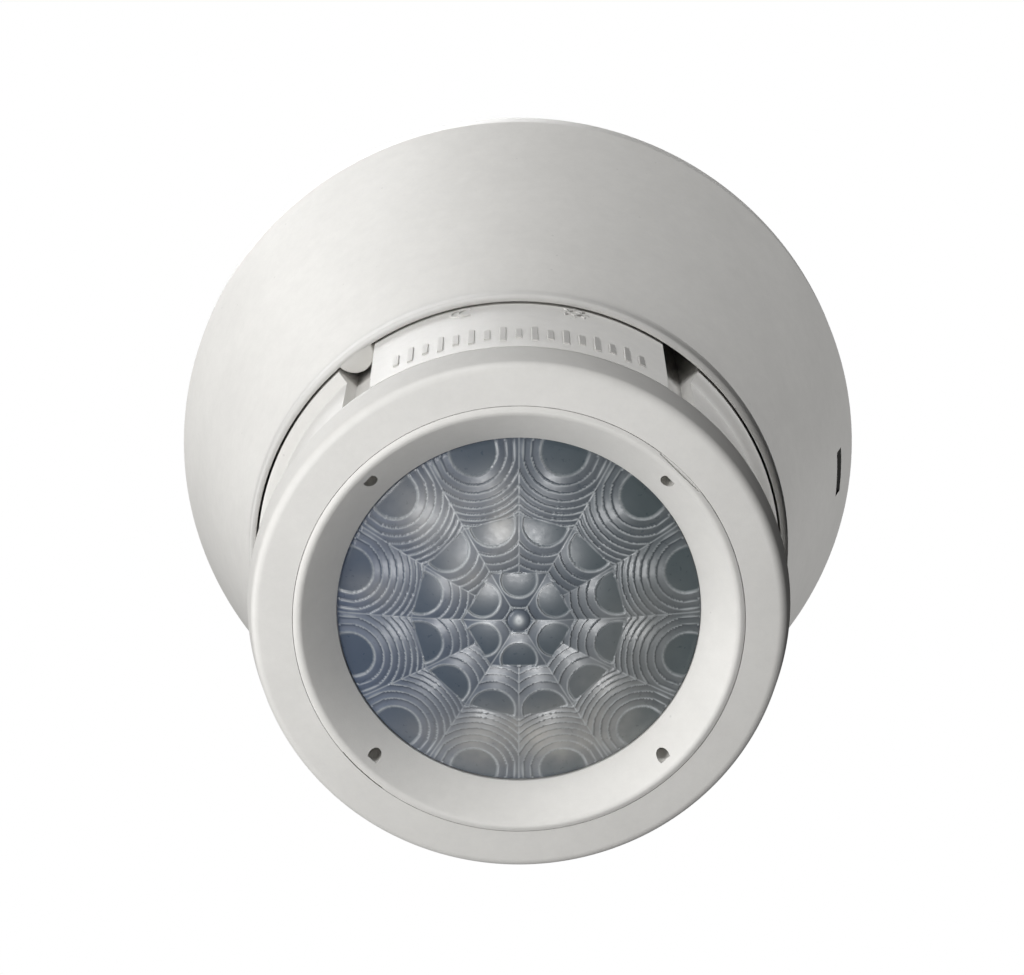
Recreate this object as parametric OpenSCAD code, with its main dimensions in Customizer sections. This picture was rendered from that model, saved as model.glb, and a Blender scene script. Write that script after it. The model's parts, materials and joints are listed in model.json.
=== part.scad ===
// Ceiling motion sensor: a round detector head hangs in a conical surface shroud.
// The ceiling is the plane z = 0, and the object hangs down to negative z.
// A "depth" is a distance below the ceiling. The front, with the raised panel, faces -Y.

/* [Shroud] */
// Radius where the shroud meets the ceiling
shroud_base_r = 45.7; // [40:0.1:55]
// Height of the short straight rim at the ceiling
shroud_rim_h = 3.4; // [2:0.2:6]
// Radius of the straight collar at the small end
collar_r = 33.2; // [32:0.1:36]
// Depth at which the cone becomes the collar
collar_top = 45; // [35:0.5:46]
// Depth of the collar's end
collar_end = 47; // [42:0.5:52]
// Inner radius of the collar
collar_inner_r = 32.35; // [31:0.05:35]
// Width of the release slot in the flank
slot_w = 6.1; // [5:0.1:8]
// Height of the release slot
slot_h = 2.75; // [2:0.05:4]
// Depth of the middle of the release slot
slot_depth = 12.2; // [8:0.2:16]

/* [Head] */
// Radius of the head where it runs in the collar
head_r = 32.05; // [30:0.05:34]
// Radius of the head where it meets the bezel
waist_r = 30.4; // [28:0.1:32]
// Depth of the head's rear end
head_top = 20; // [16:0.5:26]
// Depth at which the bezel starts
bezel_top = 62; // [58:0.5:66]
// Largest radius of the bezel
bezel_r = 31.8; // [30:0.1:34]
// Half angle of the raised front panel
panel_half_angle = 33; // [25:1:45]
// Angle from the front to the middle of each notch
notch_angle = 37.6; // [34:0.2:50]
// Width of the notches
notch_width = 5.3; // [4:0.1:7]
// Radius of the notches' floor
notch_floor_r = 29.05; // [28:0.05:31]

/* [Lens] */
// Outer radius of the ring that holds the lens
ring_r = 26.15; // [24:0.05:28]
// Depth of the ring's rim, the lowest point of the sensor
ring_end = 71; // [68:0.5:75]
// Radius of the lens opening
opening_r = 21.3; // [18:0.1:24]
// Depth of the dome's tip
dome_tip = 69.8; // [67:0.1:72]
// Radius of the dome's sphere
dome_sphere_r = 76.4; // [60:0.5:100]
// Thickness of the lens
lens_wall = 0.8; // [0.5:0.1:1.5]

/* [Mounting] */
// Distance between the two ceiling screws
screw_spacing = 60; // [40:1:70]
// Radius of each screw hole
screw_hole_r = 2.2; // [1.6:0.1:3]
// Radius of the cable hole
cable_hole_r = 10; // [6:0.5:14]
// Thickness of the mounting plate
plate_h = 2.5; // [2:0.1:4]

/* [Controls] */
// Angle from the front to each adjuster
trimmer_angle = 12; // [8:0.5:18]
// Depth of the adjusters' axes
trimmer_depth = 40; // [36:0.5:44]
// Radius of an adjuster
trimmer_r = 2.2; // [1.5:0.1:3]
// Distance between neighbouring terminals
terminal_pitch = 9; // [7:0.5:11]

/* [Hidden] */
$fn = 96;
eps = 0.01;
white = "#e9e7e2";
cone_slope = (shroud_base_r - 0.3 - collar_r) / (collar_top - shroud_rim_h);
plate_r = shroud_base_r - 2.1;
housing_inner_r = 30;
waist_inner_r = 28.4;
step_depth = 46;
cover_h = 2;
cavity_top = head_top + cover_h;
main_board_top = 26;
main_board_r = 24.5;
board_h = 1.6;
sensor_board_top = 45;
sensor_board_r = 22;
pillar_angles = [80, 190, 350];
pillar_place_r = 20.2;
boss_place_r = 27.7;
boss_r = 2.6;
boss_h = 12;
cover_screw_r = 1.1;
block_size = [29, 13, 9.5];
block_top = head_top - block_size.z;
terminal_columns = [-terminal_pitch, 0, terminal_pitch];
button_size = [3, 2.4, 4.2];
button_place_y = -3.2;
entry_place_y = 2.6;
entry_w = 3;
recess_r = 22.95;
lens_back = 66;
pin_hole_place_r = 24;
latch_h = 8;
latch_w = 6.6;
latch_place_x = 35.4;

// Radius of the shroud's outside at a depth on its cone
function cone_r(depth) = shroud_base_r - 0.3 - cone_slope * (depth - shroud_rim_h);

// Depth of a sphere's surface below its tip, at a radius from the axis
function dome_drop(sphere_r, r) = sphere_r - sqrt(sphere_r * sphere_r - r * r);

// A round outline's points are [radius, depth]
module turned(points) {
    rotate_extrude() polygon([for (p = points) [p[0], -p[1]]]);
}

// A solid cylinder between two depths
module disc(r, top, end) {
    translate([0, 0, -end]) cylinder(r = r, h = end - top);
}

// A ring between two depths
module ring(r_out, r_in, top, end) {
    difference() {
        disc(r_out, top, end);
        disc(r_in, top - 1, end + 1);
    }
}

// A block centred on x and y, between two depths
module block(size, top) {
    translate([-size.x / 2, -size.y / 2, -top - size.z]) cube(size);
}

// A radial block that starts at r_in, at an angle from the front (-Y)
module radial_block(angle, r_in, r_out, width, top, end) {
    rotate([0, 0, angle]) translate([-width / 2, -r_out, -end]) cube([width, r_out - r_in, end - top]);
}

// A radial cylinder on the trimmer's axis
module radial_pin(angle, r, r_in, r_out) {
    rotate([0, 0, angle]) translate([0, -r_in, -trimmer_depth]) rotate([90, 0, 0])
        cylinder(r = r, h = r_out - r_in);
}

// Copies on both ceiling screws
module at_ceiling_screws() {
    for (side = [-1, 1])
        translate([0, side * screw_spacing / 2, 0]) children();
}

// Copies beside each board pillar's angle, at a distance from the axis
module at_pillar_angles(place_r) {
    for (angle = pillar_angles)
        rotate([0, 0, angle]) translate([place_r, 0, 0]) children();
}

// The two notches that run the length of the head, widened and deepened by a margin
module notches(margin, end) {
    for (side = [-1, 1])
        radial_block(side * notch_angle, notch_floor_r - margin, head_r + 2, notch_width + 2 * margin,
            head_top - 1, end);
}

// The round plate screwed to the ceiling, with raised hubs round its holes
module mounting_plate() {
    hub_r = cable_hole_r + 2;
    color(white) difference() {
        union() {
            disc(plate_r, 0, plate_h);
            disc(hub_r, 0, plate_h + 1);
            at_ceiling_screws() disc(screw_hole_r + 2.4, 0, plate_h + 1);
        }
        disc(cable_hole_r, -1, plate_h + 2);
        at_ceiling_screws() disc(screw_hole_r, -1, plate_h + 2);
    }
}

// Sprung fingers under the plate that hold the shroud's flank from inside
module shroud_clips() {
    finger_r = plate_r - 2.4;
    color(white) for (angle = [60, 180, 300])
        intersection() {
            ring(finger_r, finger_r - 1.3, plate_h, plate_h + 5.5);
            radial_block(angle, finger_r - 4, finger_r + 2, 9, plate_h, plate_h + 6);
        }
}

// The guide under the plate that the latch slides in: two cheeks and a back wall
module latch_bracket() {
    wall = 1.6;
    bracket_h = latch_h + 3.5;
    cheek = [6, wall, bracket_h];
    cheek_place_y = (latch_w + wall) / 2 + 0.4;
    back_place_x = latch_place_x - 4.2;
    color(white) {
        for (side = [-1, 1])
            translate([latch_place_x - 0.2, side * cheek_place_y, 0]) block(cheek, plate_h);
        translate([back_place_x, 0, 0]) block([wall, 2 * cheek_place_y + wall, bracket_h], plate_h);
    }
}

// The tongue behind the release slot, with the nose that a screwdriver pushes
module release_latch() {
    body = [4, latch_w, latch_h];
    nose = [1.2, 5.2, 2.4];
    nose_place_x = latch_place_x + (body.x + nose.x) / 2;
    color(white) {
        translate([latch_place_x, 0, 0]) block(body, slot_depth - body.z / 2);
        translate([nose_place_x, 0, 0]) block(nose, slot_depth - nose.z / 2);
    }
}

// The conical shroud with its collar
module shroud() {
    rim_r = shroud_base_r - 0.3;
    inner_rim_r = plate_r - 0.5;
    color(white) {
        difference() {
            turned([
                [plate_r, 0], [shroud_base_r - 0.15, 0], [shroud_base_r, 0.3],
                [shroud_base_r, shroud_rim_h - 0.3], [rim_r, shroud_rim_h],
                [cone_r(collar_top), collar_top], [collar_r, collar_end - 0.5],
                [collar_r - 0.15, collar_end - 0.15], [collar_r - 0.5, collar_end],
                [collar_inner_r, collar_end], [collar_inner_r, collar_top - 1.5],
                [inner_rim_r, shroud_rim_h + 1.2], [inner_rim_r, plate_h], [plate_r, plate_h]
            ]);
            translate([shroud_base_r - 3, 0, 0]) block([8, slot_w, slot_h], slot_depth - slot_h / 2);
        }
        shroud_key();
    }
}

// The half-round key inside the collar that runs in the head's left notch
module shroud_key() {
    key_r = 2.4;
    key_top = collar_top - 1.5;
    intersection() {
        rotate([0, 0, -notch_angle]) translate([0, -collar_inner_r, 0]) disc(key_r, key_top, collar_end);
        disc(collar_inner_r + 0.4, key_top, collar_end);
    }
}

// A bored seat for each trimmer in the front wall
module trimmer_seats() {
    seat = 7;
    for (side = [-1, 1])
        radial_block(side * trimmer_angle, waist_inner_r, housing_inner_r + 1, seat,
            trimmer_depth - seat / 2, trimmer_depth + seat / 2);
}

// The raised front panel keeps nearly its full radius down to the bezel
module front_panel() {
    panel_end_r = head_r - 0.75;
    intersection() {
        turned([
            [waist_inner_r, collar_end], [head_r, collar_end], [panel_end_r, bezel_top - 0.6],
            [waist_r, bezel_top], [waist_inner_r, bezel_top]
        ]);
        rotate([0, 0, -90]) linear_extrude(height = 200, center = true)
            polygon([[0, 0], 60 * [cos(panel_half_angle), -sin(panel_half_angle)], [60, 0],
                60 * [cos(panel_half_angle), sin(panel_half_angle)]]);
    }
}

// The head's cylindrical shell, with screw bosses and trimmer seats inside
module head_housing() {
    pad = 1.5;
    color(white) difference() {
        union() {
            difference() {
                turned([[0, cavity_top], [head_r, cavity_top], [head_r, collar_end + 0.3],
                    [waist_r + 0.2, collar_end + 1.4], [waist_r, bezel_top], [0, bezel_top]]);
                difference() {
                    union() {
                        disc(housing_inner_r, cavity_top - 1, step_depth);
                        disc(waist_inner_r, cavity_top - 1, bezel_top + 1);
                    }
                    notches(pad, bezel_top);
                    trimmer_seats();
                    at_pillar_angles(boss_place_r) disc(boss_r, cavity_top, cavity_top + boss_h);
                }
            }
            front_panel();
        }
        notches(0, bezel_top + 1);
        for (side = [-1, 1])
            radial_pin(side * trimmer_angle, trimmer_r + 0.05, waist_inner_r - 1, head_r + 1);
        at_pillar_angles(boss_place_r) disc(cover_screw_r, cavity_top - 1, cavity_top + 9);
    }
}

// The round bezel, with a spigot inside the head and a bore for the lens ring
module front_bezel() {
    shoulder_r = ring_r - 1.6;
    spigot_r = waist_inner_r - 1.2;
    bore_r = ring_r + 0.25;
    color(white) turned([
        [shoulder_r, bezel_top - 1.5], [spigot_r, bezel_top - 1.5], [spigot_r, bezel_top],
        [waist_r, bezel_top], [waist_r + 0.5, bezel_top + 1.4], [bezel_r - 0.15, bezel_top + 2.7],
        [bezel_r, bezel_top + 3.5], [bezel_r - 0.8, bezel_top + 7.1], [bezel_r - 1.3, bezel_top + 7.8],
        [bezel_r - 2.1, bezel_top + 8.05], [bore_r + 0.3, bezel_top + 8.4],
        [bore_r, bezel_top + 8.2], [bore_r, bezel_top + 0.4], [shoulder_r, bezel_top + 0.4]
    ]);
}

// The lid at the head's rear, with stands for the main board
module rear_cover() {
    color("#d8d6d0") difference() {
        union() {
            disc(head_r - 0.1, head_top, cavity_top);
            at_pillar_angles(pillar_place_r) disc(2, cavity_top - eps, main_board_top);
        }
        notches(0, cavity_top + 1);
        at_pillar_angles(boss_place_r) disc(cover_screw_r + 0.2, head_top - 1, cavity_top + 1);
    }
}

module cover_screws() {
    cross_slot = [3, 0.6, 1.5];
    color("#b8bcc0") at_pillar_angles(boss_place_r) difference() {
        union() {
            disc(2.1, head_top - 1.3, head_top);
            disc(cover_screw_r - 0.05, head_top - eps, cavity_top + 8);
        }
        block(cross_slot, head_top - 2);
        block([cross_slot.y, cross_slot.x, cross_slot.z], head_top - 2);
    }
}

module main_board() {
    color("#2f6b3c") disc(main_board_r, main_board_top, main_board_top + board_h);
}

module board_pillars() {
    color("#c9c9c4") at_pillar_angles(pillar_place_r)
        disc(1.6, main_board_top + board_h, sensor_board_top);
}

module sensor_board() {
    color("#2f6b3c") disc(sensor_board_r, sensor_board_top, sensor_board_top + board_h);
}

// The heat sensor's can on its flange
module pyro_sensor() {
    can_top = sensor_board_top + board_h;
    color("#c4c7c9") union() {
        disc(4.6, can_top, can_top + 0.6);
        disc(4.1, can_top, can_top + 4.2);
    }
}

module pyro_window() {
    color("#3a3f44") block([4, 3, 0.25], sensor_board_top + board_h + 4.2);
}

// The clear ambient light sensor
module light_sensor() {
    dome_r = 1.5;
    foot = sensor_board_top + board_h;
    dome_start = foot + 2.4;
    color("#d9e2e6") translate([9, 0, 0]) turned([
        for (a = [0 : 15 : 75]) [dome_r * cos(a), dome_start + dome_r * sin(a)],
        [0, dome_start + dome_r], [0, foot], [dome_r, foot]
    ]);
}

module status_led() {
    color("#c23b2e") translate([-9, 0, 0]) block([3.2, 1.6, 0.9], sensor_board_top + board_h);
}

module relay() {
    color("#2c3f66") translate([-9, 4, 0]) block([15, 19, 11], main_board_top + board_h);
}

module film_capacitor() {
    color("#c9a227") translate([4.5, -9, 0]) block([6, 13, 11], main_board_top + board_h);
}

module electrolytic_capacitor() {
    foot = main_board_top + board_h;
    color("#26282c") translate([11, 9, 0]) disc(5, foot, foot + 11.5);
}

module varistor() {
    disc_r = 4.6;
    color("#2f5fa8") translate([14, -4, -main_board_top - board_h - disc_r]) rotate([0, 90, 0])
        cylinder(r = disc_r, h = 3.4);
}

module trimmer_bases() {
    base = 6.5;
    color("#3b6ea5") for (side = [-1, 1])
        radial_block(side * trimmer_angle, waist_inner_r - 3.4, waist_inner_r - 0.02, base,
            trimmer_depth - base / 2, trimmer_depth + base / 2);
}

// A slotted rotor that turns about a radial axis in the front wall
module trimmer(angle) {
    color("#d6d2c4") difference() {
        radial_pin(angle, trimmer_r, waist_inner_r + 0.1, head_r - 0.75);
        radial_block(angle, head_r - 1.65, head_r, 0.7, trimmer_depth - 1.7, trimmer_depth + 1.7);
    }
}

module lux_trimmer() trimmer(-trimmer_angle);

module time_trimmer() trimmer(trimmer_angle);

// The terminal block on the rear cover, with a wire entry and a button pocket per wire
module terminal_block() {
    entry_depth = 7.5;
    pocket_gap = 0.3;
    pocket_depth = 5.6;
    color("#e4e2dc") difference() {
        block(block_size, block_top);
        for (x = terminal_columns) {
            translate([x, entry_place_y, 0]) block([entry_w, entry_w, entry_depth + 1], block_top - 1);
            translate([x, button_place_y, 0]) block([button_size.x + 2 * pocket_gap,
                button_size.y + 2 * pocket_gap, pocket_depth + 1], block_top - 1);
        }
    }
}

// The brass clamp at the bottom of each wire entry
module terminal_clamps() {
    color("#c8a24a") for (x = terminal_columns) translate([x, entry_place_y, 0])
        block([entry_w - 0.2, entry_w - 0.2, 1.2], block_top + 6.3);
}

// A push button that frees the wire beside it
module release_button(x, colour) {
    color(colour) translate([x, button_place_y, 0]) difference() {
        block(button_size, block_top - 0.8);
        block([button_size.x + 1, 0.7, 0.8], block_top - 1.2);
    }
}

module live_button() release_button(-terminal_pitch, "#7a4b2a");

module neutral_button() release_button(0, "#3a6fb0");

module load_button() release_button(terminal_pitch, "#d07a2a");

// The removable ring with a funnel to the lens, four pin holes and two pry notches
module lens_ring() {
    color(white) difference() {
        turned([
            [recess_r, bezel_top + 0.45], [ring_r, bezel_top + 0.45], [ring_r, ring_end - 0.6],
            [ring_r - 0.15, ring_end - 0.2], [ring_r - 0.5, ring_end], [ring_r - 0.85, ring_end - 0.1],
            [opening_r, ring_end - 4.2], [opening_r, lens_back], [recess_r, lens_back]
        ]);
        for (angle = [45 : 90 : 315])
            rotate([0, 0, angle]) translate([pin_hole_place_r, 0, 0]) disc(0.7, ring_end - 5.4, ring_end + 1);
        for (angle = [45, 225])
            radial_block(angle, ring_r - 0.45, ring_r + 1, 6.5, ring_end - 0.8, ring_end + 1);
    }
}

// The domed lens with a thin flange that rests in the ring's recess
module fresnel_lens() {
    inner_sphere_r = dome_sphere_r - lens_wall;
    rim_r = opening_r - 0.1;
    inner_rim_r = rim_r - 0.8;
    flange_r = recess_r - 0.05;
    steps = 8;
    color("#8d98a3") turned([
        [0, dome_tip],
        for (i = [1 : steps]) let (r = rim_r * i / steps) [r, dome_tip - dome_drop(dome_sphere_r, r)],
        [rim_r, lens_back], [flange_r, lens_back], [flange_r, lens_back - lens_wall],
        [inner_rim_r, lens_back - lens_wall],
        for (i = [steps : -1 : 1]) let (r = inner_rim_r * i / steps)
            [r, dome_tip - lens_wall - dome_drop(inner_sphere_r, r)],
        [0, dome_tip - lens_wall]
    ]);
}

module lens_retainer() {
    retainer_end = lens_back - lens_wall;
    color("#cfcdc7") ring(recess_r - 0.05, opening_r - 0.7, retainer_end - 1.6, retainer_end);
}

mounting_plate();
shroud_clips();
latch_bracket();
release_latch();
shroud();
head_housing();
front_bezel();
rear_cover();
cover_screws();
main_board();
board_pillars();
sensor_board();
pyro_sensor();
pyro_window();
light_sensor();
status_led();
relay();
film_capacitor();
electrolytic_capacitor();
varistor();
trimmer_bases();
terminal_block();
terminal_clamps();
lux_trimmer();
time_trimmer();
live_button();
neutral_button();
load_button();
lens_ring();
fresnel_lens();
lens_retainer();
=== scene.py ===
"""Ceiling motion sensor: moulded shells, a grooved segmented lens, studio light and the camera."""

import json
import math

import bmesh
import bpy
import numpy as np
from mathutils import Matrix, Vector


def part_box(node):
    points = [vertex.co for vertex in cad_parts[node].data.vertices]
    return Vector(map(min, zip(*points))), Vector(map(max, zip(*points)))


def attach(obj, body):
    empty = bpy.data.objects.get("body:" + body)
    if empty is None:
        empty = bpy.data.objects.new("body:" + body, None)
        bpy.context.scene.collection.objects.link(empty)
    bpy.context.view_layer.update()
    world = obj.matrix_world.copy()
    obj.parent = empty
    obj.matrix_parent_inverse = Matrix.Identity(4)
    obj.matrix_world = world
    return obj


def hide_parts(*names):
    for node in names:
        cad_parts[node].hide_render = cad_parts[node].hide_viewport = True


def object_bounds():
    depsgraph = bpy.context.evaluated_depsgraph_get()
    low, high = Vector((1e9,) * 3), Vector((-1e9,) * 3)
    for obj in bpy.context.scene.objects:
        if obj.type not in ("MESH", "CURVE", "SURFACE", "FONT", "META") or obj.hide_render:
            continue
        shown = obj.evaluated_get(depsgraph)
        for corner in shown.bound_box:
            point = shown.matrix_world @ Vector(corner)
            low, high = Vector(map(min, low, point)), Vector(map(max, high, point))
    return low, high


MM = 0.001

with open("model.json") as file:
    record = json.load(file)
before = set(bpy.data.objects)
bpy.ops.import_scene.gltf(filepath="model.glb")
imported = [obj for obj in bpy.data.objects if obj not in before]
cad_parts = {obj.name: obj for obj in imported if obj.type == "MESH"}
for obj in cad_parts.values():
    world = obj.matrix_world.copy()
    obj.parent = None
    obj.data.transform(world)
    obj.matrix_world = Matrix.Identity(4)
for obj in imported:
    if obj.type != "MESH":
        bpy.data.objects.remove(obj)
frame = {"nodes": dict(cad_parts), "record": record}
cad_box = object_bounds()
nodes = frame["nodes"]
record = frame["record"]


def low_high(node):
    """A node's lowest and highest corners in millimetres."""
    low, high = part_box(node)
    return Vector(low) / MM, Vector(high) / MM


shroud_low, shroud_high = low_high("shroud")
housing_low, housing_high = low_high("head_housing")
bezel_high = low_high("front_bezel")[1]
ring_low, ring_high = low_high("lens_ring")
lens_low, lens_high = low_high("fresnel_lens")

# Depths are distances below the ceiling, in millimetres.
BASE_R = shroud_high.x
COLLAR_END = -shroud_low.z
COLLAR_R = 33.2
COLLAR_INNER_R = 32.35
COLLAR_TOP = COLLAR_END - 2
INNER_STEP = COLLAR_TOP - 1.5
LIP_TOP = COLLAR_TOP - 0.6
RIM_H = 3.4
PLATE_GAP_R = BASE_R - 2.1
PLATE_SEAT = 2.5
HEAD_R = 32.05
CAVITY_TOP = -housing_high.z
BEZEL_TOP = -housing_low.z
HOUSING_INNER_R = 27.3
WAIST_R = 30.4
PANEL_FOOT = 3.6
NOTCH_ANGLE = 37.6
NOTCH_WIDTH = 5.3
NOTCH_FLOOR_R = 29.05
BEZEL_R = bezel_high.x
RING_R = ring_high.x
RING_END = -ring_low.z
OPENING_R = 21.3
PIN_HOLE_PLACE_R = 24
PIN_HOLE_R = 0.8
DOME_TIP = -lens_low.z
FLANGE_H = 0.8
LENS_BACK = -lens_high.z + FLANGE_H
LENS_RIM_R = lens_high.x
DOME_SPHERE_R = 76.4
TRIMMER_ANGLE = 12
TRIMMER_DEPTH = 40
TRIMMER_BORE_R = 2.25
SLOT_DEPTH = 12.2
SLOT_W = 6.1
SLOT_H = 2.75


# ---------------------------------------------------------------- mesh helpers


def rounded(corners, steps=6):
    """An outline from (radius, depth, fillet) corners, each fillet drawn as an arc."""
    outline = []
    count = len(corners)
    for i, (x, y, fillet) in enumerate(corners):
        here = Vector((x, y))
        if fillet <= 0:
            outline.append(here)
            continue
        to_last = (Vector(corners[i - 1][:2]) - here).normalized()
        to_next = (Vector(corners[(i + 1) % count][:2]) - here).normalized()
        half = to_last.angle(to_next) / 2
        reach = fillet / math.tan(half)
        middle = here + (to_last + to_next).normalized() * fillet / math.sin(half)
        start = here + to_last * reach - middle
        turn = math.pi - 2 * half
        if start.x * to_next.y - start.y * to_next.x < 0:
            turn = -turn
        for k in range(steps + 1):
            spin = Matrix.Rotation(turn * k / steps, 2)
            outline.append(middle + spin @ start)
    return outline


def new_piece(name, bm, smooth_angle=32):
    """A mesh object whose edges sharper than the angle stay crisp."""
    bmesh.ops.recalc_face_normals(bm, faces=bm.faces)
    mesh = bpy.data.meshes.new(name)
    bm.to_mesh(mesh)
    bm.free()
    piece = bpy.data.objects.new(name, mesh)
    bpy.context.scene.collection.objects.link(piece)
    soften(piece, smooth_angle)
    return piece


def soften(piece, smooth_angle=32):
    """Smooth shading everywhere but at edges sharper than the angle."""
    piece.data.shade_smooth()
    piece.data.set_sharp_from_angle(angle=math.radians(smooth_angle))


def loop_surface(bm, loops):
    """Faces between neighbouring closed loops of vertices, the last joined to the first."""
    for i, loop in enumerate(loops):
        following = loops[(i + 1) % len(loops)]
        size = len(loop)
        for k in range(size):
            bm.faces.new((loop[k], loop[(k + 1) % size], following[(k + 1) % size], following[k]))


def turned(bm, outline, segments=288):
    """A ring-shaped solid from a closed outline of (radius, depth)."""
    loops = []
    for s in range(segments):
        angle = 2 * math.pi * s / segments
        loops.append([
            bm.verts.new((p[0] * math.cos(angle) * MM, p[0] * math.sin(angle) * MM, -p[1] * MM))
            for p in outline
        ])
    loop_surface(bm, loops)


def at_front(angle_deg, radius, depth):
    """A point at an angle from the front (-Y), turning towards +X."""
    a = math.radians(angle_deg)
    return Vector((radius * math.sin(a) * MM, -radius * math.cos(a) * MM, -depth * MM))


def block_cutter(name, size, centre, turn_deg=0):
    """A box in millimetres, turned about the sensor's axis."""
    bm = bmesh.new()
    bmesh.ops.create_cube(bm, size=1)
    spin = Matrix.Rotation(math.radians(turn_deg), 4, "Z")
    place = spin @ Matrix.Translation(Vector(centre) * MM)
    bmesh.ops.transform(bm, matrix=place @ Matrix.Diagonal([s * MM for s in size] + [1]), verts=bm.verts)
    return new_piece(name, bm)


def round_cutter(name, radius, length, centre, direction):
    """A cylinder with its middle at a point in metres, lying along a direction."""
    bm = bmesh.new()
    bmesh.ops.create_cone(
        bm, segments=48, radius1=radius * MM, radius2=radius * MM, depth=length * MM, cap_ends=True)
    place = Matrix.Translation(centre) @ Vector(direction).to_track_quat("Z", "Y").to_matrix().to_4x4()
    bmesh.ops.transform(bm, matrix=place, verts=bm.verts)
    return new_piece(name, bm)


def carve(piece, cutters):
    """Cuts the cutters out of the piece and applies the result to its mesh."""
    for cutter in cutters:
        cut = piece.modifiers.new("cut", "BOOLEAN")
        cut.operation = "DIFFERENCE"
        cut.solver = "EXACT"
        cut.object = cutter
    bpy.context.view_layer.update()
    seen = piece.evaluated_get(bpy.context.evaluated_depsgraph_get())
    piece.data = bpy.data.meshes.new_from_object(seen)
    piece.modifiers.clear()
    for cutter in cutters:
        bpy.data.objects.remove(cutter)
    soften(piece)


# ---------------------------------------------------------------- materials


class Nodes:
    """A short way to build a node material."""

    def __init__(self, name):
        self.material = bpy.data.materials.new(name)
        self.material.use_nodes = True
        self.tree = self.material.node_tree
        self.shader = self.tree.nodes["Principled BSDF"]
        self.place = self.add("ShaderNodeTexCoord").outputs["Object"]

    def add(self, kind, **inputs):
        made = self.tree.nodes.new(kind)
        for key, value in inputs.items():
            self.feed(made.inputs[key.replace("_", " ")], value)
        return made

    def feed(self, socket, value):
        if isinstance(value, bpy.types.NodeSocket):
            self.tree.links.new(value, socket)
        else:
            socket.default_value = value

    def set(self, **inputs):
        for key, value in inputs.items():
            self.feed(self.shader.inputs[key.replace("_", " ")], value)

    def noise(self, scale, detail=4.0, roughness=0.55):
        return self.add(
            "ShaderNodeTexNoise", Vector=self.place, Scale=scale, Detail=detail, Roughness=roughness
        ).outputs["Fac"]

    def ramp(self, value, stops):
        made = self.add("ShaderNodeValToRGB", Fac=value)
        elements = made.color_ramp.elements
        while len(elements) < len(stops):
            elements.new(0.5)
        for element, (where, colour) in zip(elements, stops):
            element.position = where
            element.color = (*colour, 1.0)
        return made.outputs["Color"]

    def grey(self, value, low, high):
        """A noise value, which stays mostly between 0.3 and 0.7, spread over a range."""
        made = self.add("ShaderNodeMapRange", Value=value)
        made.inputs["From Min"].default_value = 0.3
        made.inputs["From Max"].default_value = 0.7
        made.inputs["To Min"].default_value = low
        made.inputs["To Max"].default_value = high
        return made.outputs["Result"]

    def mix(self, amount, first, second):
        made = self.tree.nodes.new("ShaderNodeMix")
        made.data_type = "RGBA"
        self.feed(made.inputs["Factor"], amount)
        self.feed(made.inputs["A"], first)
        self.feed(made.inputs["B"], second)
        return made.outputs["Result"]

    def math(self, operation, first, second=0.0):
        made = self.tree.nodes.new("ShaderNodeMath")
        made.operation = operation
        made.use_clamp = True
        self.feed(made.inputs[0], first)
        self.feed(made.inputs[1], second)
        return made.outputs[0]

    def attribute(self, name):
        made = self.add("ShaderNodeAttribute")
        made.attribute_name = name
        return made.outputs["Fac"]

    def bump(self, height, strength, distance=0.0001):
        made = self.add("ShaderNodeBump", Height=height, Strength=strength, Distance=distance)
        return made.outputs["Normal"]


def shade(colour, factor):
    """A colour made darker or lighter, no channel above 1."""
    return tuple(min(1.0, c * factor) for c in colour)


def moulded(name, colour, rough=0.45, mottle=0.05, grain=0.12):
    """Moulded plastic with a fine spark-eroded grain and faint mottling."""
    n = Nodes(name)
    cloud = n.noise(260.0, 6.0, 0.62)
    fine = n.noise(5200.0, 2.0)
    n.set(
        Base_Color=n.ramp(cloud, [(0.3, shade(colour, 1 - mottle)), (0.62, colour)]),
        Roughness=n.grey(fine, rough - 0.06, rough + 0.06),
        Normal=n.bump(fine, grain),
    )
    n.shader.inputs["Specular IOR Level"].default_value = 0.4
    return n.material


def shell_plastic(name, colour):
    """The white shells: a satin grain with soft clouds, faint blotches and a few handling specks."""
    n = Nodes(name)
    cloud = n.ramp(n.noise(90.0, 5.0, 0.6), [(0.35, shade(colour, 0.965)), (0.6, colour)])
    blotch = n.math("MULTIPLY", n.grey(n.noise(520.0, 6.0, 0.75), 0.0, 1.0), 0.2)
    speck = n.add("ShaderNodeTexVoronoi", Vector=n.place, Scale=230.0).outputs["Distance"]
    speck = n.math("MULTIPLY", n.math("LESS_THAN", speck, 0.035), 0.3)
    fine = n.noise(5200.0, 2.0)
    soiled = n.mix(blotch, cloud, (*shade(colour, 0.72), 1))
    n.set(
        Base_Color=n.mix(speck, soiled, (*shade(colour, 0.6), 1)),
        Roughness=n.grey(fine, 0.4, 0.54),
        Normal=n.bump(fine, 0.12),
    )
    n.shader.inputs["Specular IOR Level"].default_value = 0.4
    return n.material


def glossy(name, colour, rough=0.22):
    """Dipped, sleeved or polished plastic with a slight ripple."""
    n = Nodes(name)
    ripple = n.noise(700.0, 3.0)
    n.set(
        Base_Color=n.ramp(ripple, [(0.3, shade(colour, 0.88)), (0.7, shade(colour, 1.06))]),
        Roughness=n.grey(ripple, rough, rough + 0.12),
        Normal=n.bump(ripple, 0.15),
    )
    n.shader.inputs["Coat Weight"].default_value = 0.3
    return n.material


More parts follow.
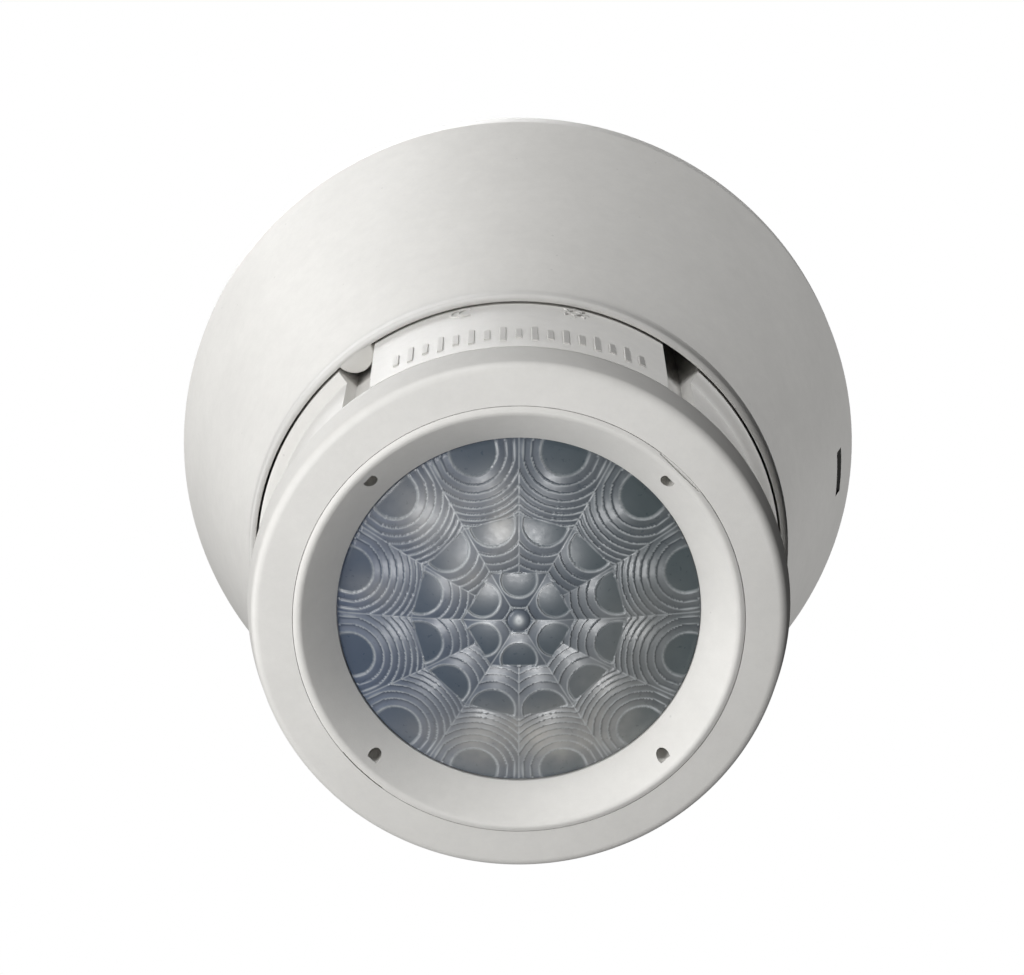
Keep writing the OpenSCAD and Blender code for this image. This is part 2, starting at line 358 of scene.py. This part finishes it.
def metal(name, colour, rough=0.3):
    """Plated metal with short draw marks."""
    n = Nodes(name)
    stretched = n.add("ShaderNodeMapping", Vector=n.place)
    stretched.inputs["Scale"].default_value = (6.0, 1.0, 1.0)
    marks = n.add("ShaderNodeTexNoise", Vector=stretched.outputs["Vector"], Scale=2400.0).outputs["Fac"]
    n.set(
        Base_Color=n.ramp(marks, [(0.35, shade(colour, 0.82)), (0.65, colour)]),
        Roughness=n.grey(marks, rough - 0.08, rough + 0.12),
        Normal=n.bump(marks, 0.1),
    )
    n.shader.inputs["Metallic"].default_value = 1.0
    return n.material


def board(name, colour):
    """Solder mask over copper tracks."""
    n = Nodes(name)
    tracks = n.add("ShaderNodeTexBrick", Vector=n.place, Scale=300.0)
    tracks.inputs["Mortar Size"].default_value = 0.06
    tracks.inputs["Color1"].default_value = (*shade(colour, 0.9), 1)
    tracks.inputs["Color2"].default_value = (*shade(colour, 1.1), 1)
    tracks.inputs["Mortar"].default_value = (*shade(colour, 1.7), 1)
    n.set(
        Base_Color=tracks.outputs["Color"],
        Roughness=n.grey(n.noise(900.0), 0.28, 0.4),
        Normal=n.bump(tracks.outputs["Fac"], 0.2),
    )
    return n.material


def lens_plastic(name):
    """Milky polyethylene: pale groove edges, groove valleys darkened with painted shade, darker smooth
    spots, pale patches of painted stray light and a soft blue cast on one side.
    """
    n = Nodes(name)
    line = n.attribute("groove_edge")
    spot = n.attribute("clear_spot")
    stray_light_mask = n.attribute("painted_stray_light")
    across = n.add("ShaderNodeSeparateXYZ", Vector=n.place)
    tint = n.add("ShaderNodeMapRange", Value=across.outputs["X"])
    tint.inputs["From Min"].default_value = -0.021
    tint.inputs["From Max"].default_value = 0.014
    cloud = n.grey(n.noise(170.0, 3.0), 0.0, 1.0)
    blue = n.mix(cloud, (0.10, 0.13, 0.20, 1), (0.16, 0.19, 0.255, 1))
    neutral = n.mix(cloud, (0.095, 0.112, 0.122, 1), (0.175, 0.19, 0.2, 1))
    field = n.mix(tint.outputs["Result"], blue, neutral)
    dark = n.mix(tint.outputs["Result"], (0.07, 0.095, 0.14, 1), (0.068, 0.09, 0.098, 1))
    body = n.mix(n.math("MULTIPLY", spot, 0.8), field, dark)
    # Painted shade: the groove valleys are darkened in the lens colour.
    valley = n.math("MULTIPLY", line, -1.0)
    body = n.mix(valley, body, (0.05, 0.06, 0.075, 1))
    # Painted stray light: pale soft patches mixed into the lens colour.
    stray_light_amount = n.math("MULTIPLY", stray_light_mask, n.grey(n.noise(260.0, 3.0), 0.45, 1.0))
    body = n.mix(stray_light_amount, body, (0.5, 0.485, 0.455, 1))
    patches = n.grey(n.noise(120.0, 2.0), 0.3, 0.95)
    n.set(
        Base_Color=n.mix(n.math("MULTIPLY", line, patches), body, (0.55, 0.58, 0.60, 1)),
        Roughness=n.grey(n.noise(1500.0), 0.26, 0.38),
        Normal=n.bump(n.noise(900.0, 2.0), 0.03),
    )
    n.shader.inputs["Specular IOR Level"].default_value = 0.45
    n.shader.inputs["Coat Weight"].default_value = 0.12
    n.shader.inputs["Coat Roughness"].default_value = 0.15
    return n.material


WHITE = (0.80, 0.79, 0.765)
MAKERS = {
    "matte_plastic": moulded, "gloss_plastic": glossy, "brushed_steel": metal, "brass": metal,
}
colours = {m["slot"]: tuple(m["base_color"][:3]) for m in record["materials"]}
classes = {m["slot"]: m["class"] for m in record["materials"]}
materials = {slot: MAKERS[classes[slot]](slot, colours[slot]) for slot in colours}
materials["white_plastic"] = shell_plastic("white_plastic", WHITE)
# Painted shade: a near-black plastic for the slot's cut walls.
materials["slot_painted_shade"] = moulded("slot_painted_shade", (0.03, 0.03, 0.028), 0.7)
materials["circuit_board"] = board("circuit_board", colours["circuit_board"])
materials["lens_plastic"] = lens_plastic("lens_plastic")
for part in record["subparts"]:
    data = nodes[part["node"]].data
    data.materials.clear()
    data.materials.append(materials[part["material_slot"]])


def finish_piece(piece, body, slot, *replaced):
    """Gives a piece its material, its body and the CAD nodes that it stands for."""
    piece.data.materials.clear()
    piece.data.materials.append(materials[slot])
    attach(piece, body)
    if replaced:
        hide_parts(*replaced)


# ---------------------------------------------------------------- shroud


def make_shroud():
    """The shroud's conical flank with its straight rim and the release slot."""
    inner_rim_r = PLATE_GAP_R - 0.5
    bm = bmesh.new()
    turned(bm, rounded([
        (PLATE_GAP_R, 0, 0), (BASE_R, 0, 0.35), (BASE_R, RIM_H, 0.5), (flank_r(LIP_TOP), LIP_TOP, 0),
        (COLLAR_INNER_R, LIP_TOP, 0), (COLLAR_INNER_R, INNER_STEP, 0), (inner_rim_r, RIM_H + 1.2, 0),
        (inner_rim_r, PLATE_SEAT, 0), (PLATE_GAP_R, PLATE_SEAT, 0),
    ]))
    piece = new_piece("shroud_flank", bm)
    carve(piece, [block_cutter("slot_cutter", (8, SLOT_W, SLOT_H), (BASE_R - 3, 0, -SLOT_DEPTH))])
    finish_piece(piece, "shroud", "white_plastic", "shroud")
    paint_slot_shade(piece)
    return piece


def paint_slot_shade(piece):
    """The slot's cut walls get a dark material: painted shade that stands for the unlit space behind them.
    """
    dark_index = len(piece.data.materials)
    piece.data.materials.append(materials["slot_painted_shade"])
    slot_reach = 3.6
    slot_centre = Vector((flank_r(SLOT_DEPTH) - 1, 0, -SLOT_DEPTH)) * MM
    for face in piece.data.polygons:
        flat = abs(face.normal.x) < 0.2
        if flat and (face.center - slot_centre).length < slot_reach * MM:
            face.material_index = dark_index


def make_collar():
    """The shroud's small end: a short straight collar with a rolled lip."""
    wall = 0.4
    bm = bmesh.new()
    turned(bm, rounded([
        (flank_r(LIP_TOP), LIP_TOP, 0), (COLLAR_R, COLLAR_TOP, 2.0), (COLLAR_R, COLLAR_END, 0.6),
        (COLLAR_INNER_R, COLLAR_END, 0.1), (COLLAR_INNER_R, INNER_STEP, 0),
        (flank_r(INNER_STEP) - wall, INNER_STEP, 0), (flank_r(LIP_TOP) - wall, LIP_TOP, 0),
    ], steps=8))
    piece = new_piece("shroud_collar", bm)
    finish_piece(piece, "shroud", "white_plastic", "shroud")
    return piece


def flank_r(depth):
    """The flank's radius at a depth on its straight stretch."""
    start_r = BASE_R - 0.3
    return start_r - (start_r - COLLAR_R) * (depth - RIM_H) / (COLLAR_TOP - RIM_H)


def make_key():
    """The half-round key on the collar's inside, which fills the left notch."""
    bm = bmesh.new()
    key_r = 2.4
    steps = 28
    lip = 0.3
    sunk = 0.15
    rows = ((INNER_STEP, 0.0), (COLLAR_END - lip, 0.0), (COLLAR_END - 0.1, lip * 0.35), (COLLAR_END, lip))
    rings = []
    for depth, inset in rows:
        ring = []
        for k in range(steps + 1):
            turn = math.pi * k / steps
            side = (key_r - inset) * math.cos(turn)
            inward = (key_r - inset) * math.sin(turn)
            spread = math.degrees(side / COLLAR_INNER_R)
            radius = COLLAR_INNER_R + sunk - inward
            ring.append(bm.verts.new(at_front(-NOTCH_ANGLE + spread, radius, depth)))
        rings.append(ring)
    for upper, lower in zip(rings, rings[1:]):
        for k in range(steps):
            bm.faces.new((upper[k], upper[k + 1], lower[k + 1], lower[k]))
        bm.faces.new((upper[0], lower[0], lower[-1], upper[-1]))
    bm.faces.new(rings[0])
    bm.faces.new(rings[-1])
    piece = new_piece("shroud_key", bm)
    finish_piece(piece, "shroud", "white_plastic", "shroud")


# ---------------------------------------------------------------- head


def panel_r(depth):
    """The raised front panel's radius at a depth. Its foot lies flush with the bezel."""
    share = max(0.0, (depth - COLLAR_END) / (BEZEL_TOP + PANEL_FOOT - COLLAR_END))
    return HEAD_R - (HEAD_R - BEZEL_R - 0.03) * share


def ease(share):
    """A smooth step from 0 to 1."""
    share = min(1.0, max(0.0, share))
    return 3 * share ** 2 - 2 * share ** 3


def waist_wall_r(depth):
    """The housing's radius outside the panel: a sloping shoulder just below the collar, then the waist."""
    shoulder_top = COLLAR_END + 0.3
    return HEAD_R - (HEAD_R - WAIST_R - 0.2) * ease((depth - shoulder_top) / 1.1)


def make_housing():
    """The head's housing: a wall with a waist, a raised panel between two notches, and two bores."""
    fine = 0.3
    rows = 200
    foot_step = 0.4
    edge = math.degrees(NOTCH_WIDTH / 2 / HEAD_R)
    marks = set(range(-180, 180, 2))
    for side in (-1, 1):
        for turn in (NOTCH_ANGLE - edge, NOTCH_ANGLE + edge):
            marks.update(round(side * turn + k * fine / 2, 3) for k in range(-3, 4))
    bm = bmesh.new()
    loops = []
    for turn in sorted(marks):
        away = abs(abs(turn) - NOTCH_ANGLE)
        open_share = min(1.0, max(0.0, (edge + fine / 2 - away) / fine))
        notch_r = NOTCH_FLOOR_R / math.cos(math.radians(away))
        on_panel = abs(turn) < NOTCH_ANGLE - edge - fine
        wall_end = BEZEL_TOP + (PANEL_FOOT if on_panel else -foot_step)
        loop = []
        for k in range(rows + 1):
            depth = CAVITY_TOP + k * (wall_end - CAVITY_TOP) / rows
            wall = panel_r(depth) if abs(turn) < NOTCH_ANGLE else waist_wall_r(depth)
            loop.append(at_front(turn, wall + (notch_r - wall) * open_share, depth))
        loop.append(at_front(turn, HOUSING_INNER_R + 1.5, BEZEL_TOP))
        loop.append(at_front(turn, HOUSING_INNER_R, BEZEL_TOP))
        loop.append(at_front(turn, HOUSING_INNER_R, CAVITY_TOP))
        loops.append([bm.verts.new(p) for p in loop])
    loop_surface(bm, loops)
    piece = new_piece("housing_shell", bm)
    bores = []
    for side in (-1, 1):
        turn = side * TRIMMER_ANGLE
        outward = at_front(turn, 1, 0)
        middle = at_front(turn, HEAD_R - 1, TRIMMER_DEPTH)
        bores.append(round_cutter("bore", TRIMMER_BORE_R, 8, middle, outward))
    carve(piece, bores)
    finish_piece(piece, "head", "white_plastic", "head_housing")
    return piece


def make_bezel():
    """The round bezel with its rolled lip."""
    bore_r = RING_R + 0.02
    ledge_r = 24.6
    joint_r = 27.2
    bm = bmesh.new()
    turned(bm, rounded([
        (ledge_r, BEZEL_TOP - 1.5, 0), (joint_r, BEZEL_TOP - 1.5, 0), (joint_r, BEZEL_TOP, 0),
        (WAIST_R, BEZEL_TOP, 0.2), (WAIST_R + 0.4, BEZEL_TOP + 1.2, 2.0),
        (BEZEL_R + 0.06, BEZEL_TOP + 3.5, 1.6),
        (BEZEL_R - 0.85, BEZEL_TOP + 8.0, 1.3), (bore_r, BEZEL_TOP + 8.55, 0.04),
        (bore_r, BEZEL_TOP + 0.4, 0), (ledge_r, BEZEL_TOP + 0.4, 0),
    ], steps=8))
    piece = new_piece("bezel_shell", bm)
    finish_piece(piece, "head", "white_plastic", "front_bezel")


# ---------------------------------------------------------------- raised marks on the panel


def stroke(bm, points, width, height, closed=False):
    """A low raised line on the panel through (sideways, depth) points in millimetres."""
    count = len(points)
    rows = []
    for i, point in enumerate(points):
        last = points[i - 1] if closed or i else point
        following = points[(i + 1) % count] if closed or i < count - 1 else point
        along = (Vector(following) - Vector(last)).normalized()
        side = Vector((-along.y, along.x)) * width / 2
        row = []
        for share, rise in ((-1.0, -0.1), (-0.75, height), (0.75, height), (1.0, -0.1)):
            place = Vector(point) + side * share
            radius = panel_r(place.y) + rise
            row.append(bm.verts.new(at_front(math.degrees(place.x / HEAD_R), radius, place.y)))
        rows.append(row)
    pairs = list(zip(rows, rows[1:] + rows[:1])) if closed else list(zip(rows, rows[1:]))
    for first, second in pairs:
        for k in range(4):
            bm.faces.new((first[k], first[(k + 1) % 4], second[(k + 1) % 4], second[k]))
    if not closed:
        bm.faces.new(rows[0])
        bm.faces.new(rows[-1])


def arc(centre, radius, start_deg, end_deg, steps=16):
    """Points along an arc, as (sideways, depth)."""
    points = []
    for k in range(steps + 1):
        turn = math.radians(start_deg + (end_deg - start_deg) * k / steps)
        points.append((centre[0] + radius * math.cos(turn), centre[1] + radius * math.sin(turn)))
    return points


def make_panel_marks():
    """A row of plain ribs across the lower part of the front panel, long and short by turns."""
    bm = bmesh.new()
    middle = BEZEL_TOP - 1.6
    pitch = 1.85
    each_side = 8
    width, height = 0.85, 0.17
    for k in range(-each_side, each_side + 1):
        sideways = k * pitch
        half = 2.7 if k % 2 else 1.8
        stroke(bm, [(sideways, middle - half), (sideways, middle + half)], width, height)
    piece = new_piece("panel_ribs", bm)
    finish_piece(piece, "head", "white_plastic")


def make_adjuster_symbols():
    """The moon and sun that mark the two adjusters, just below the collar."""
    bm = bmesh.new()
    depth = COLLAR_END + 1.9
    height = 0.16
    reach = HEAD_R * math.radians(TRIMMER_ANGLE)
    moon = (-reach, depth)
    stroke(bm, arc(moon, 1.5, 60, 300), 0.34, height)
    stroke(bm, arc((moon[0] + 0.75, depth), 1.3, 80, 280), 0.28, height)
    sun = (reach, depth)
    stroke(bm, arc(sun, 0.75, 0, 337.5, 15), 0.32, height, closed=True)
    for k in range(8):
        turn = math.pi * k / 4
        ray = Vector((math.cos(turn), math.sin(turn)))
        stroke(bm, [Vector(sun) + ray * 1.15, Vector(sun) + ray * 1.75], 0.28, height)
    piece = new_piece("adjuster_symbols", bm)
    finish_piece(piece, "head", "white_plastic")


# ---------------------------------------------------------------- lens ring and lens


def make_lens_ring():
    """The ring with the conical mouth, four pin holes and two pry notches."""
    bm = bmesh.new()
    recess_r = LENS_RIM_R + 0.05
    turned(bm, rounded([
        (recess_r, BEZEL_TOP + 0.45, 0), (RING_R, BEZEL_TOP + 0.45, 0), (RING_R, RING_END - 0.42, 0.03),
        (RING_R - 0.75, RING_END, 0.7), (OPENING_R, RING_END - 4.2, 0.15), (OPENING_R, LENS_BACK, 0),
        (recess_r, LENS_BACK, 0),
    ]))
    piece = new_piece("lens_ring_shell", bm)
    cutters = []
    hole_middle = RING_END - 3.2
    for turn in (45, 135, 225, 315):
        place = at_front(turn, PIN_HOLE_PLACE_R, hole_middle)
        cutters.append(round_cutter("pin_hole", PIN_HOLE_R, 4.4, place, (0, 0, 1)))
    for turn in (45, 225):
        cutters.append(block_cutter("pry_notch", (6.5, 0.7, 1.2), (0, -RING_R, -RING_END), turn))
    carve(piece, cutters)
    finish_piece(piece, "lens", "white_plastic", "lens_ring")


def lens_pattern(radius, angle):
    """Groove height (mm), groove edge and clear spot, each for arrays of polar places on the lens.

    Three rings of facets share one plan: each facet's grooves are arcs about a smooth spot
    near its outer edge. A positive edge is a pale crest, a negative one a valley darkened with painted
    shade."""
    bump_r = 1.3
    bump_h, spot_h, groove_h = 0.35, 0.08, 0.18
    valley_w, crest_w, spoke_w, border_w = 0.3, 0.17, 0.12, 0.13
    valley_shade = 0.45
    most_grooves = 13
    height = np.zeros_like(radius)
    edge = np.zeros_like(radius)
    spot = np.zeros_like(radius)
    rings = (
        # inner, outer, facets, first facet's angle, spot's place, spot's radius, pitch, shrink
        (1.4, 5.7, 6, 30.0, 4.9, 2.1, 1.2, 0.9),
        (5.7, 12.1, 12, 15.0, 11.9, 2.65, 1.05, 0.92),
        (12.1, 30.0, 12, 15.0, 20.4, 2.8, 1.02, 0.92),
    )
    x = radius * np.cos(angle)
    y = radius * np.sin(angle)
    bump = radius < bump_r
    height[bump] = bump_h * np.sqrt(np.maximum(0.0, 1 - (radius[bump] / bump_r) ** 2))
    # Painted highlight: a pale glint painted on the centre bump.
    edge += 1.8 * np.exp(-(radius / 0.5) ** 2)
    last_border = None
    for inner, outer, facets, first, place_r, spot_r, pitch, shrink in rings:
        step = 2 * math.pi / facets
        middle = np.round((angle - math.radians(first)) / step) * step + math.radians(first)
        swing = np.abs(angle - middle)
        # Each ring's border is a polygon with its corners on the spokes.
        border_in = inner if last_border is None else last_border
        border_out = outer / np.cos(swing)
        here = (radius >= border_in) & (radius < border_out)
        reach = np.hypot(x - place_r * np.cos(middle), y - place_r * np.sin(middle))
        limit = spot_r
        band = np.zeros_like(radius, dtype=int)
        start = np.zeros_like(radius)
        width = np.full_like(radius, spot_r)
        gap = pitch
        for k in range(1, most_grooves + 1):
            inside = reach >= limit
            band[inside] = k
            start[inside] = limit
            width[inside] = gap
            limit += gap
            gap *= shrink
        phase = np.clip((reach - start) / width, 0, 1)
        is_spot = here & (band == 0)
        spot[is_spot] = 1.0
        height[is_spot] = spot_h * (1 - (reach[is_spot] / spot_r) ** 2)
        in_groove = here & (band > 0)
        height[in_groove] = groove_h * (1 - phase[in_groove])
        # Painted shade in each groove's valley, just before the next crest.
        valley = np.exp(-((1 - phase) * width / valley_w) ** 2)
        edge[in_groove] -= valley_shade * valley[in_groove]
        near = np.where(band > 0, reach - start, spot_r - reach) / crest_w
        crest = np.exp(-near ** 2) * np.where(band > 0, 1.0, 0.6)
        crest_here = here & (crest > 0.15)
        edge[crest_here] = np.maximum(edge[crest_here], crest[crest_here])
        spoke = (step / 2 - swing) * radius / spoke_w
        edge[here] = np.maximum(edge[here], 1.15 * np.exp(-spoke[here] ** 2) - valley_shade)
        to_border = np.abs(border_out - radius) / border_w
        border = 1.2 * np.exp(-to_border ** 2) - valley_shade
        border = np.where(radius < border_out + 0.3, border, -valley_shade)
        edge = np.maximum(edge, border)
        last_border = border_out
    return height, edge, spot


def paint_stray_light(radius, angle):
    """Painted stray light on the lens: soft pale patches painted into its colour, each (x, y, half width,
    half height, strength).
    """
    patches = (
        (1.0, 15.5, 11.0, 4.2, 0.95), (-1.8, -11.5, 2.0, 5.5, 0.6), (-6.0, -5.0, 2.8, 2.4, 0.5),
        (-10.5, -12.5, 5.0, 4.5, 0.5), (-17.5, -3.0, 3.0, 1.8, 0.45), (10.5, 9.0, 6.0, 5.0, 0.35),
        (14.5, 0.5, 5.0, 4.5, 0.25),
    )
    x = radius * np.cos(angle)
    y = radius * np.sin(angle)
    painted_stray_light = np.zeros_like(radius)
    for centre_x, centre_y, half_x, half_y, strength in patches:
        painted_stray_light += strength * np.exp(-((x - centre_x) / half_x) ** 2 - ((y - centre_y) / half_y) ** 2)
    return np.minimum(painted_stray_light, 1.0)


def make_lens():
    """The domed lens, its outside grooved in three rings of facets."""
    rings = 190
    segments = 720
    rim_r = OPENING_R - 0.1
    groove_fade = 0.4
    crest_room = 0.36
    wall = 0.9
    radius, angle = np.meshgrid(
        rim_r * (np.arange(1, rings + 1) / rings), 2 * np.pi * np.arange(segments) / segments, indexing="ij")
    height, edge, spot = lens_pattern(radius, angle)
    height *= np.clip((rim_r - radius) / groove_fade, 0, 1)
    dome = DOME_TIP - crest_room - (DOME_SPHERE_R - np.sqrt(DOME_SPHERE_R ** 2 - radius ** 2))
    depth = dome + height
    bm = bmesh.new()
    edge_layer = bm.verts.layers.float.new("groove_edge")
    spot_layer = bm.verts.layers.float.new("clear_spot")
    stray_light_layer = bm.verts.layers.float.new("painted_stray_light")
    painted_stray_light = paint_stray_light(radius, angle)
    grid = []
    for i in range(rings):
        row = []
        for k in range(segments):
            r, a = radius[i, k], angle[i, k]
            vert = bm.verts.new((r * math.cos(a) * MM, r * math.sin(a) * MM, -depth[i, k] * MM))
            vert[edge_layer] = edge[i, k]
            vert[spot_layer] = spot[i, k]
            vert[stray_light_layer] = painted_stray_light[i, k]
            row.append(vert)
        grid.append(row)
    tip = bm.verts.new((0, 0, -(DOME_TIP - 0.01) * MM))
    flange = (
        (rim_r, LENS_BACK), (LENS_RIM_R, LENS_BACK), (LENS_RIM_R, LENS_BACK - FLANGE_H),
        (rim_r - FLANGE_H, LENS_BACK - FLANGE_H),
    )
    for r, d in flange:
        grid.append([
            bm.verts.new((r * math.cos(a) * MM, r * math.sin(a) * MM, -d * MM))
            for a in angle[0]
        ])
    for upper, lower in zip(grid, grid[1:]):
        for k in range(segments):
            bm.faces.new((upper[k], upper[(k + 1) % segments], lower[(k + 1) % segments], lower[k]))
    back_tip = bm.verts.new((0, 0, -(DOME_TIP - wall) * MM))
    for k in range(segments):
        bm.faces.new((tip, grid[0][(k + 1) % segments], grid[0][k]))
        bm.faces.new((back_tip, grid[-1][k], grid[-1][(k + 1) % segments]))
    piece = new_piece("segmented_lens", bm, 60)
    finish_piece(piece, "lens", "lens_plastic", "fresnel_lens")


# ---------------------------------------------------------------- stage, light and camera


def make_floor():
    """A pale floor far below the sensor. It is seen, but throws no light back up."""
    drop = 1.1
    bm = bmesh.new()
    bmesh.ops.create_grid(bm, x_segments=8, y_segments=8, size=3.0)
    bmesh.ops.translate(bm, vec=(0, 0, -drop), verts=bm.verts)
    floor = new_piece("floor", bm)
    floor.data.materials.append(moulded("floor_paint", (0.82, 0.82, 0.81), 0.7, 0.02, 0.05))
    floor.visible_diffuse = False
    floor.visible_glossy = False
    return floor


def link_light(light, pieces, state):
    """Let a light fall on some pieces only, or on all but them."""
    if not pieces:
        return
    linked = bpy.data.collections.new(light.name + "_pieces")
    for piece in pieces:
        linked.objects.link(piece)
    for entry in linked.collection_objects:
        entry.light_linking.link_state = state
    light.light_linking.receiver_collection = linked


def area_light(name, direction, distance, size, power, colour=(1, 1, 1), only_on=(), not_on=()):
    """A soft square light aimed at the middle of the sensor, for every piece unless some are named."""
    middle = (Vector(cad_box[0]) + Vector(cad_box[1])) / 2
    data = bpy.data.lights.new(name, "AREA")
    data.size = size
    data.energy = power
    data.color = colour
    light = bpy.data.objects.new(name, data)
    away = Vector(direction).normalized()
    light.location = middle + away * distance
    light.rotation_euler = away.to_track_quat("Z", "Y").to_euler()
    bpy.context.scene.collection.objects.link(light)
    link_light(light, only_on or not_on, "INCLUDE" if only_on else "EXCLUDE")


def floor_light(floor):
    """An even light from above that falls on the floor only."""
    data = bpy.data.lights.new("floor_light", "SUN")
    data.energy = 3.2
    data.angle = 0.5
    light = bpy.data.objects.new("floor_light", data)
    bpy.context.scene.collection.objects.link(light)
    link_light(light, [floor], "INCLUDE")


def make_world(seen, lit):
    """A white backdrop that lights the sensor only dimly."""
    world = bpy.data.worlds.new("studio")
    bpy.context.scene.world = world
    world.use_nodes = True
    tree = world.node_tree
    back = tree.nodes["Background"]
    path = tree.nodes.new("ShaderNodeLightPath")
    strength = tree.nodes.new("ShaderNodeMapRange")
    tree.links.new(path.outputs["Is Camera Ray"], strength.inputs["Value"])
    strength.inputs["To Min"].default_value = lit
    strength.inputs["To Max"].default_value = seen
    tree.links.new(strength.outputs["Result"], back.inputs["Strength"])
    back.inputs["Color"].default_value = (1.0, 1.0, 1.0, 1.0)


def make_camera():
    """Below and in front of the sensor, looking steeply up."""
    tilt = math.radians(17.8)
    place = (-0.0008, -0.121, -0.396)
    forward = Vector((0, math.sin(tilt), math.cos(tilt)))
    up = Vector((0, -math.cos(tilt), math.sin(tilt)))
    right = forward.cross(up)
    data = bpy.data.cameras.new("camera")
    data.sensor_width = 36
    data.lens = 105.5
    data.clip_start = 0.01
    camera = bpy.data.objects.new("camera", data)
    turn = Matrix((right, up, -forward)).transposed().to_4x4()
    camera.matrix_world = Matrix.Translation(place) @ turn
    bpy.context.scene.collection.objects.link(camera)
    bpy.context.scene.camera = camera


flank = make_shroud()
collar = make_collar()
make_key()
housing = make_housing()
make_bezel()
make_panel_marks()
make_adjuster_symbols()
make_lens_ring()
make_lens()
floor = make_floor()
area_light("key", (-0.66, -0.25, -0.70), 1.2, 0.5, 6.8, (1.0, 0.995, 0.98), not_on=[collar])
area_light("front_fill", (-0.02, 0.12, -0.99), 1.0, 0.2, 3.1, not_on=[collar])
area_light("left_strip", (-0.96, 0.2, -0.1), 1.0, 0.4, 3.3)
area_light("top_strip", (-0.34, -0.92, -0.2), 1.0, 0.4, 4.0)
area_light("above", (-0.25, -0.2, 0.95), 1.0, 0.5, 3.0)
area_light("flank_fill", (0.98, 0.2, -0.1), 1.0, 0.4, 4.2, only_on=[flank])
area_light("flank_top", (-0.35, -0.9, -0.2), 1.0, 0.4, 1.3, only_on=[flank])
area_light("collar_light", (-0.62, -0.55, -0.56), 1.0, 0.3, 4.5, only_on=[collar])
area_light("housing_fill", (0.92, -0.38, -0.15), 1.0, 0.4, 3.8, only_on=[housing])
floor_light(floor)
make_world(1.0, 0.03)
make_camera()
bpy.context.scene.view_settings.view_transform = "Standard"
